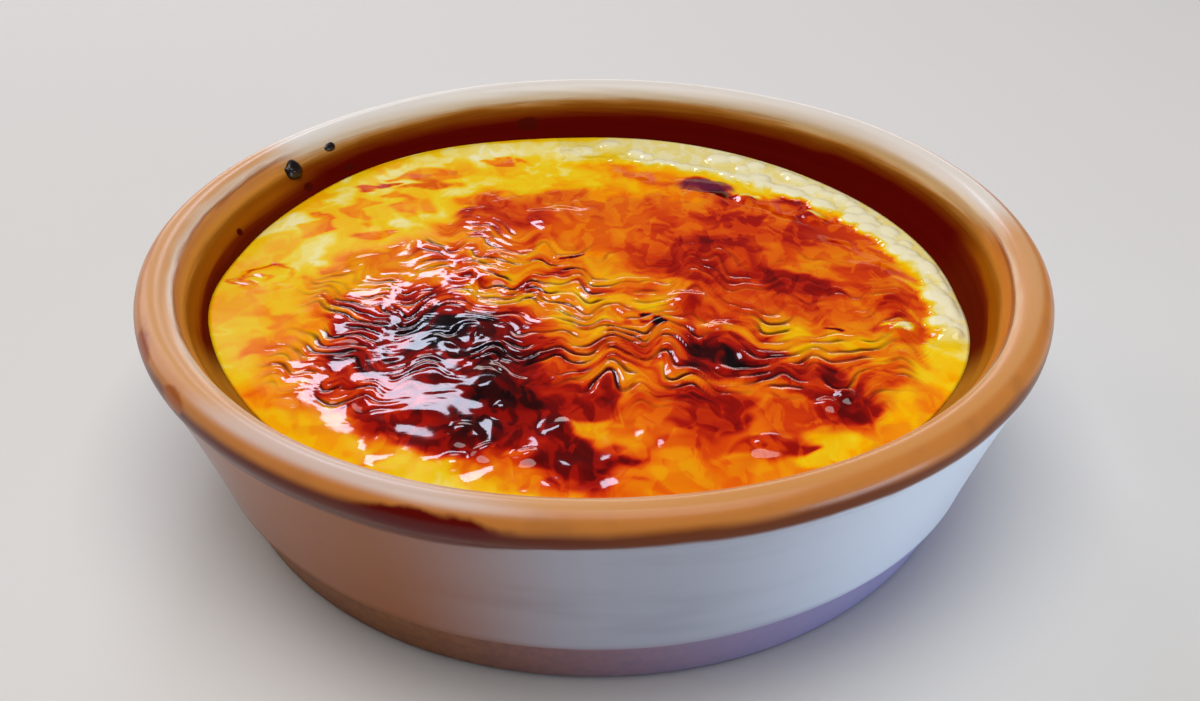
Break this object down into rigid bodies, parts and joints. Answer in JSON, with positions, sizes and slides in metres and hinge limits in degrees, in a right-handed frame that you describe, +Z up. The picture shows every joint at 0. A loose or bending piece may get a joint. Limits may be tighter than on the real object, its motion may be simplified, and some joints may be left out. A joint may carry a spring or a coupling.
{
  "type": "creme brulee in its dish",
  "caption": "Creme brulee: a set custard under a burnt, wrinkled caramel crust, in a thick round glazed stoneware dish with a rolled lip.",
  "frame": {"origin": "middle of the dish's underside, on the surface it stands on", "axes": "+Z up along the dish's axis; -Y towards the viewer, with the most burnt part of the crust at -X -Y"},
  "size_m": [0.13, 0.13, 0.0336],
  "materials": {
    "stoneware": "glossy off-white glaze outside, tan lip, brown inside, bare brown clay foot",
    "caramelised_custard": "wet glossy caramel, yellow custard at the margins, burnt black in places"
  },
  "bodies": {
    "root": {"dish": "stoneware", "custard": "caramelised_custard"}
  },
  "joints": []
}
